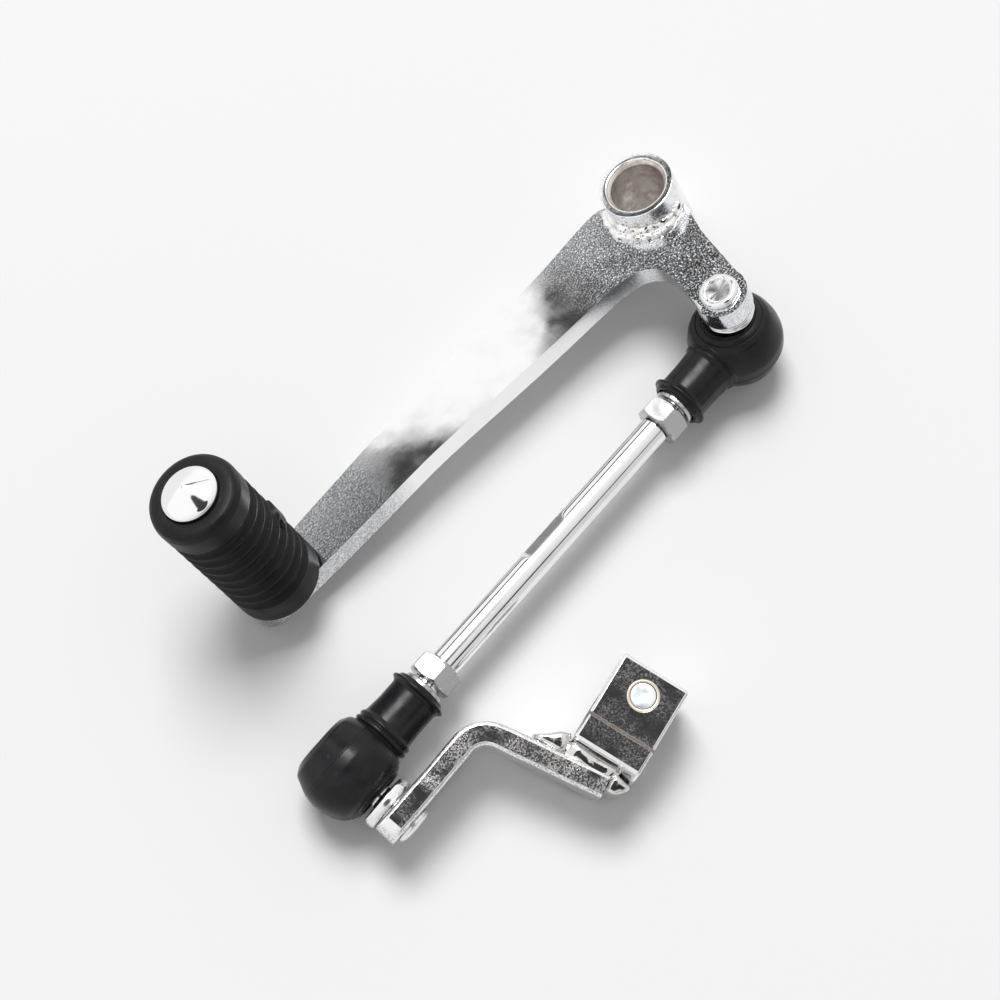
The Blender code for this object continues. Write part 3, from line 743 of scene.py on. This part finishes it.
def link_rod():
    """Round bar with two long spanner flats rolled into its middle."""
    start, end = NUT_TO + 0.2, ROD_LENGTH - NUT_TO - 0.2
    half, depth, tilt = 5.65, 0.62, math.radians(38)
    stations = sorted(set(
        [10.5, 11.0, start, start + 0.01, start + 0.4]
        + [end - 0.4, end - 0.01, end, ROD_LENGTH - 11, ROD_LENGTH - 10.5]
        + steps_between(start + 1, end - 1, 24)
        + steps_between(ROD_LENGTH / 2 - half - 2, ROD_LENGTH / 2 + half + 2, 24)
    ))
    around = 72
    sections = []
    for x in stations:
        thread = x <= start or x >= end
        radius = THREAD_R if thread else ROD_R - (0.35 if x < start + 0.2 or x > end - 0.2 else 0)
        flat_in = min(max((half + 1.2 - abs(x - ROD_LENGTH / 2)) / 1.4, 0), 1)
        cap = radius - depth * flat_in * flat_in * (3 - 2 * flat_in)
        section = []
        for i in range(around):
            angle = 2 * math.pi * i / around
            y, z = radius * math.cos(angle), radius * math.sin(angle)
            u, v = y * math.cos(tilt) + z * math.sin(tilt), -y * math.sin(tilt) + z * math.cos(tilt)
            u = max(-cap, min(cap, u))
            y, z = u * math.cos(tilt) - v * math.sin(tilt), u * math.sin(tilt) + v * math.cos(tilt)
            section.append((x, y, z))
        sections.append(section)
    piece("link_rod_bar", sweep(sections), "link", "rod", ["link_rod"], "link", sharp=40)


# ---------------------------------------------------------------- shift arm

def bar_section(point, normal, half):
    """Rounded cross-section of the bar, from its outside corner round."""
    side, edge, steps = BAR_T / 2, 1.0, 4
    outline = []
    for a, z, start in ((side, half, 0), (-side, half, 90), (-side, -half, 180), (side, -half, 270)):
        centre = (a - math.copysign(edge, a), z - math.copysign(edge, z))
        outline += arc(centre, edge, start, start + 90, steps)
    return [(point[0] + normal[0] * a, point[1] + normal[1] * a, z) for a, z in outline]


def shift_arm():
    """Flat bar on edge, bent once, its stud end rounded across the width."""
    turn = math.radians(BEND)
    tangent = BEND_R * math.tan(turn / 2)
    tip_x, tip_reach, tip_half = -6.2, 4.8, 3.9
    sections = []
    for share in steps_between(0, 1, 11):
        x = tip_x + tip_reach * share
        half = tip_half + (BAR_HALF - tip_half) * math.sqrt(max(0.0, 1 - (1 - share) ** 2))
        sections.append(bar_section((x, -BAR_MID), (0, 1), half))
    for x in steps_between(0.5, BEND_X - tangent - 0.5, 12):
        sections.append(bar_section((x, -BAR_MID), (0, 1), BAR_HALF))
    centre = Vector((BEND_X - tangent, -BAR_MID - BEND_R))
    for i in range(25):
        angle = turn * i / 24
        normal = (math.sin(angle), math.cos(angle))
        point = (centre.x + BEND_R * normal[0], centre.y + BEND_R * normal[1])
        sections.append(bar_section(point, normal, BAR_HALF))
    normal = (math.sin(turn), math.cos(turn))
    for reach in steps_between(tangent + 1, LEG, 12):
        point = (BEND_X + reach * math.cos(turn), -BAR_MID - reach * math.sin(turn))
        sections.append(bar_section(point, normal, BAR_HALF))
    mesh = sweep(sections)
    roughen(mesh, 0.16, 7.0, 2)
    piece("shift_arm_bar", mesh, "arm", "chrome_arm", ["shift_arm"], "arm", sharp=50)


def clamp_boss():
    """Split block with a splined bore, its corners softened by the plating."""
    start = math.degrees(math.asin(0.9 / SPLINE_R))
    last = 2 * TEETH - 3
    tooth = 0.75
    bore = []
    for i in range(last + 1):
        middle = start + (360 - 2 * start) * i / last
        radius = SPLINE_R if i % 2 else SPLINE_R - tooth
        bore += arc((SPLINE_V, 0), radius, middle - 2.0, middle + 2.0, 1)
    outline = [
        (52.2, 0.9), (52.2, LUG_TOP), (SPLINE_V, LUG_TOP), (31.2, 7.4), (29.6, 5.4), (28.6, 1.8),
        (28.6, -1.8), (29.6, -5.4), (31.4, -7.4), (34.5, -8.3), (39.9, -8.3), (40.8, -5.6), (52.2, -5.6),
        (52.2, -0.9),
    ]
    mesh = prism(outline + bore[::-1], CLAMP_FROM, CLAMP_TO)
    edges = edges_at(mesh, lambda co: math.hypot(co.x - SPLINE_V, co.y) > 7.3 and abs(co.y) > 0.5)
    bmesh.ops.bevel(mesh, geom=edges, offset=0.75, segments=4, profile=0.5, affect="EDGES")
    across = Matrix(((0, 0, 1), (1, 0, 0), (0, 1, 0))).to_4x4()
    block = piece(
        "clamp_boss_block", mesh, "clamp", "chrome_clamp", ["clamp_boss"], "arm",
        sharp=40, moved=across,
    )
    drill = lathe([
        (0, -9), (3.2, -9), (3.2, LUG_TOP - 0.4), (3.65, LUG_TOP + 0.05), (3.65, LUG_TOP + 1),
        (0, LUG_TOP + 1),
    ], 64)
    bmesh.ops.recalc_face_normals(drill, faces=drill.faces)
    bmesh.ops.scale(drill, vec=(MM, MM, MM), verts=drill.verts)
    data = bpy.data.meshes.new("clamp_bolt_hole")
    drill.to_mesh(data)
    drill.free()
    cutter = bpy.data.objects.new("clamp_bolt_hole", data)
    bpy.context.scene.collection.objects.link(cutter)
    cutter.matrix_world = FRAMES["clamp"] @ Matrix.Translation(Vector(BOLT_AT) * MM)
    cut = block.modifiers.new("bolt_hole", "BOOLEAN")
    cut.object, cut.solver = cutter, "EXACT"
    bpy.context.view_layer.objects.active = block
    block.modifiers.move(1, 0)
    with bpy.context.temp_override(object=block):
        bpy.ops.object.modifier_apply(modifier="bolt_hole")
    bpy.data.objects.remove(cutter)


def pinch_bolt():
    """Hexagon bolt from below, its tip and the threads' edge flush with the lug."""
    place = Matrix.Translation(BOLT_AT)
    head = hexagon(-10.1, -7.0, NUT_FLATS)
    piece("pinch_bolt_head", head, "clamp", "nut", ["pinch_bolt"], "arm", sharp=25, moved=place)
    tip = soften([
        (THREAD_R, LUG_TOP - 0.4), (2.75, LUG_TOP - 0.1), (2.2, LUG_TOP - 0.06),
    ], 0.12, 3, closed=False)
    shank = [(0, -7.2), (THREAD_R, -7.2), (THREAD_R, LUG_TOP - 0.45)] + tip
    shank += [(1.2, LUG_TOP - 0.1), (0, LUG_TOP - 0.1)]
    piece("pinch_bolt_shank", lathe(shank, 48), "clamp", "bolt_tip", [], "arm", moved=place)
    edge = [(2.98, LUG_TOP - 0.9), (3.19, LUG_TOP - 0.9), (3.19, LUG_TOP - 0.4), (3.5, LUG_TOP - 0.08),
            (3.3, LUG_TOP + 0.02), (2.98, LUG_TOP - 0.12)]
    piece("pinch_bolt_thread_ring", lathe(edge, 64), "clamp", "bolt_ring", [], "arm", moved=place)
    ring = soften([(3.25, -6.7), (4.9, -6.7), (4.9, -5.9), (3.25, -5.9)], 0.15, 2)
    piece("pinch_washer_ring", lathe(ring, 48), "clamp", "zinc", ["pinch_washer"], "arm", moved=place)


def clamp_weld(name, nodes, outline, seed):
    """Solidified pool of weld between bar and block: outlines stacked across the bar, smaller at the ends."""
    levels = [
        (-8.1, 0.5), (-7.7, 0.75), (-6.9, 0.92), (-5, 1.0), (0, 1.0), (5, 1.0), (6.9, 0.93), (7.7, 0.78),
        (8.1, 0.55),
    ]
    dense = soften(outline, 1.6, 6)
    centre = [sum(axis) / len(dense) for axis in zip(*dense)]
    sections = []
    for z, size in levels:
        ring = [tuple(c + (p - c) * size for p, c in zip(point, centre)) for point in dense]
        sections.append([(along, -out, z) for out, along in ring])
    mesh = sweep(sections)
    bmesh.ops.triangulate(mesh, faces=[face for face in mesh.faces if len(face.verts) > 4])
    bmesh.ops.subdivide_edges(mesh, edges=mesh.edges[:], cuts=2, use_grid_fill=True)
    bmesh.ops.smooth_vert(
        mesh, verts=mesh.verts, factor=0.5, use_axis_x=True, use_axis_y=True, use_axis_z=True
    )
    roughen(mesh, 0.4, 4.2, seed)
    piece(name, mesh, "arm", "pool", nodes, "arm", sharp=180)


def clamp_welds():
    """A pool at each end of the block and one that fills the seam between block and bar."""
    left = [(33.2, 32.0), (32.8, 34.6), (31.6, 37.2), (29.6, 36.0), (27.4, 33.6), (24.9, 31.2), (26.0, 30.5)]
    right = [(44.0, 31.6), (47.0, 32.2), (48.3, 34.2), (48.7, 36.2), (43.2, 36.4)]
    clamp_weld("clamp_weld_left_pool", ["clamp_weld_left"], left, 1)
    clamp_weld("clamp_weld_right_pool", ["clamp_weld_right"], right, 2)
    seam = [(31.2, 31.6), (38.0, 32.8), (45.0, 33.9), (45.2, 37.2), (38.0, 36.2), (31.6, 35.6)]
    clamp_weld("clamp_weld_seam", [], seam, 3)


# ---------------------------------------------------------------- stage

def floor():
    """Pale matt paper, a little below the object."""
    look = Look("studio_floor", (0.8, 0.8, 0.8), 0.0, 0.9)
    look.shader.inputs["Specular IOR Level"].default_value = 0.0
    look.colour(look.span(look.noise(300.0, 2.0), 0.4, 0.7, 0, 0.3), (0.795, 0.795, 0.8))
    bpy.ops.mesh.primitive_plane_add(size=8, location=(0, 0, -0.0001))
    ground = bpy.context.object
    ground.name = "floor"
    ground.data.materials.append(look.material)


def view_matrix():
    """The camera's place: level, at DISTANCE from TARGET."""
    azimuth, elevation = math.radians(AZIMUTH), math.radians(ELEVATION)
    back = Vector((
        math.sin(azimuth) * math.cos(elevation), -math.cos(azimuth) * math.cos(elevation), math.sin(elevation)
    ))
    right = Vector((math.cos(azimuth), math.sin(azimuth), 0))
    turned = Matrix((right, back.cross(right), back)).transposed().to_4x4()
    return Matrix.Translation(Vector(TARGET) + back * DISTANCE) @ turned


def camera():
    data = bpy.data.cameras.new("camera")
    data.lens, data.sensor_width = LENS, 36
    data.clip_start, data.clip_end = 0.01, 50
    made = bpy.data.objects.new("camera", data)
    bpy.context.scene.collection.objects.link(made)
    made.matrix_world = view_matrix()
    bpy.context.scene.camera = made


def towards(azimuth, elevation):
    """A direction from the object. The azimuth counts from the view's right, anticlockwise."""
    turn, rise = math.radians(azimuth + AZIMUTH), math.radians(elevation)
    return Vector((math.cos(turn) * math.cos(rise), math.sin(turn) * math.cos(rise), math.sin(rise)))


def soft_box(name, azimuth, elevation, distance, size, power):
    """An area light that faces the object."""
    way = towards(azimuth, elevation)
    data = bpy.data.lights.new(name, "AREA")
    data.shape, data.size, data.size_y, data.energy = "RECTANGLE", *size, power
    made = bpy.data.objects.new(name, data)
    bpy.context.scene.collection.objects.link(made)
    made.location = Vector(TARGET) + way * distance
    made.rotation_euler = way.to_track_quat("Z", "Y").to_euler()
    made.visible_camera = False


def studio():
    """One large soft key light in a white tent that only reflections show whole.

    The tent has a dark seam low round two of its sides and a dark opening overhead.
    """
    world = bpy.data.worlds.new("studio")
    bpy.context.scene.world = world
    world.use_nodes = True
    tree = world.node_tree
    background = tree.nodes["Background"]
    background.inputs["Color"].default_value = (1, 1, 1, 1)

    def math_node(operation, *values):
        return add_node(tree, "Math", dict(enumerate(values)), operation=operation).outputs[0]

    def facing(direction):
        return add_node(tree, "VectorMath", {0: way, 1: direction}, operation="DOT_PRODUCT").outputs["Value"]

    def ramp(value, low, high, to_low, to_high):
        inputs = {"Value": value, "From Min": low, "From Max": high, "To Min": to_low, "To Max": to_high}
        return add_node(tree, "MapRange", inputs, interpolation_type="SMOOTHSTEP").outputs["Result"]

    def sine(degrees):
        return math.sin(math.radians(degrees))

    way = add_node(tree, "TexCoord", {}).outputs["Generated"]
    above = ramp(facing((0, 0, 1)), sine(32.05), sine(32.4), 0, 1)
    below = ramp(facing(towards(135, 82)), sine(46), sine(48.5), 1, 0)
    sides = ramp(math_node("ABSOLUTE", facing(towards(127, 0))), 0.62, 0.7, 0, 1)
    seam = math_node("MULTIPLY", math_node("MULTIPLY", above, below), sides)
    opening = ramp(facing(towards(-90, 81)), sine(71), sine(75), 0, 1)
    dark = math_node("MAXIMUM", seam, opening)
    walls = ramp(facing(towards(135, 20)), -0.7, 0.6, 0.72, 1.08)
    tent = math_node("MULTIPLY", walls, ramp(dark, 0, 1, 1, 0.05))
    mirrored = add_node(tree, "LightPath", {}).outputs["Is Glossy Ray"]
    level = add_node(tree, "Mix", {"Factor": mirrored, 2: 0.42, 3: tent}, data_type="FLOAT").outputs[0]
    tree.links.new(level, background.inputs["Strength"])
    soft_box("key", azimuth=104, elevation=62, distance=5.0, size=(2.2, 2.2), power=216)


def main():
    lever_plate()
    pivot_tube()
    tube_weld("upper", -0.1, 1, 1.0)
    tube_weld("lower", -PLATE_T + 0.1, -0.8, 2.0)
    peg_pin()
    peg_rubber()
    ball_stud("lever", "pedal", BALL_DROP - PLATE_T - GAP, BALL_DROP, wide=5.85, rings=3)
    ball_stud("arm", "arm", BAR_MID - BAR_T / 2 - GAP, BAR_MID + BAR_T / 2, wide=6.55, rings=1)
    hidden = {"housing": "zinc", "plug": "zinc", "seat_lower": "nylon", "seat_upper": "nylon"}
    joints = (("arm", (0, 0), 156, 5, -22), ("lever", (1.6, -0.45), 100, 3, 26))
    for tag, slip, mould_line, seed, nut_turn in joints:
        ball_boot(tag, slip, mould_line, seed)
        ball_shank(tag)
        lock_nut(tag, nut_turn)
        for kind, look in hidden.items():
            frame["nodes"][f"ball_{kind}_{tag}"].data.materials[0] = LOOKS[look]
    link_rod()
    shift_arm()
    clamp_boss()
    pinch_bolt()
    clamp_welds()
    floor()
    studio()
    camera()
    bpy.context.scene.view_settings.view_transform = "Standard"


main()
